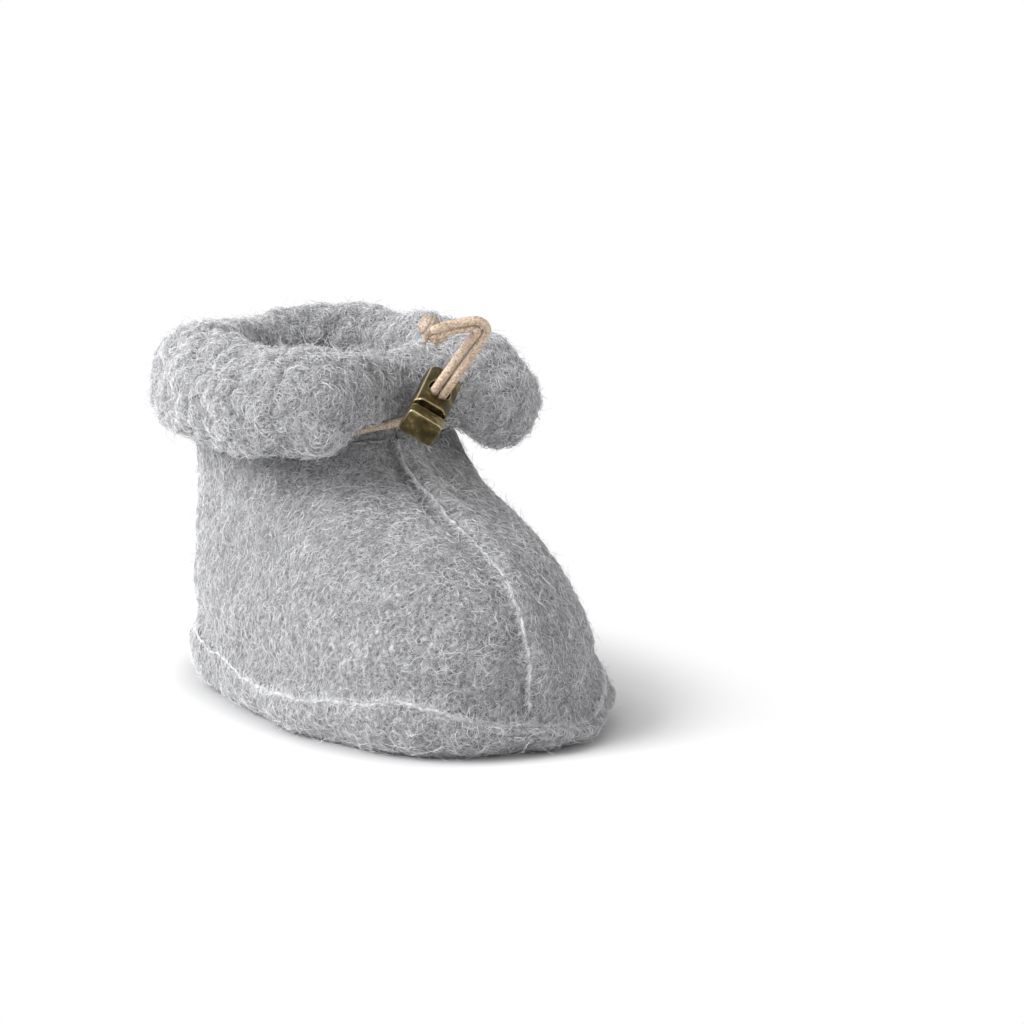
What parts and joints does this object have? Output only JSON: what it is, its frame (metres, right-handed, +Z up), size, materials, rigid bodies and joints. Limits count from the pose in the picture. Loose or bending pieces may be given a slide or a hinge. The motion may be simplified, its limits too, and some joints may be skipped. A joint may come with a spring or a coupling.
{
  "type": "baby bootie",
  "caption": "Soft lined wool bootie for an infant, with a turned-down cuff and a drawcord round the ankle held by a spring cord lock.",
  "frame": {"origin": "middle of the sole's underside, on the floor", "axes": "+Z up, -Y towards the toe, +Y towards the heel, -X towards the wearer's right side, which is the side that faces the viewer"},
  "size_m": [0.065, 0.1061, 0.0725],
  "materials": {
    "outer_wool": "matte boiled wool, brushed",
    "lining_wool": "matte brushed wool, curly pile",
    "seam_thread": "pale grey yarn",
    "cord": "waxed braided cotton",
    "brass": "dark antique brass with worn bright edges",
    "spring_steel": "bright wire"
  },
  "bodies": {
    "boot": {"outer_panel_right": "outer_wool", "outer_panel_left": "outer_wool", "outer_sole": "outer_wool", "lining_right": "lining_wool", "lining_left": "lining_wool", "insole": "lining_wool", "cuff_right": "lining_wool", "cuff_left": "lining_wool", "front_seam": "seam_thread", "back_seam": "seam_thread", "sole_seam": "seam_thread", "channel_stitching": "seam_thread", "drawcord": "cord"},
    "lock": {"lock_body": "brass", "lock_spring": "spring_steel"},
    "button": {"lock_button": "brass"},
    "cord_tip": {"cord_end": "cord", "end_knot": "cord"}
  },
  "joints": [
    {"name": "lock_slide", "type": "slide", "parent": "boot", "child": "lock", "axis": [0.1206, -0.6841, 0.7193], "range_m": [0, 0.01]},
    {"name": "button_press", "type": "slide", "parent": "lock", "child": "button", "axis": [0.6613, 0.5958, 0.4557], "range_m": [0, 0.0012], "stiffness_N_per_m": 400, "springref_m": -0.002, "deforming": ["lock_spring"]},
    {"name": "cord_end_swing", "type": "hinge", "parent": "boot", "child": "cord_tip", "pos_m": [0.00373, -0.03122, 0.07108], "axis": [-0.3028, -0.7155, -0.6296], "range_deg": [-60, 5]}
  ]
}
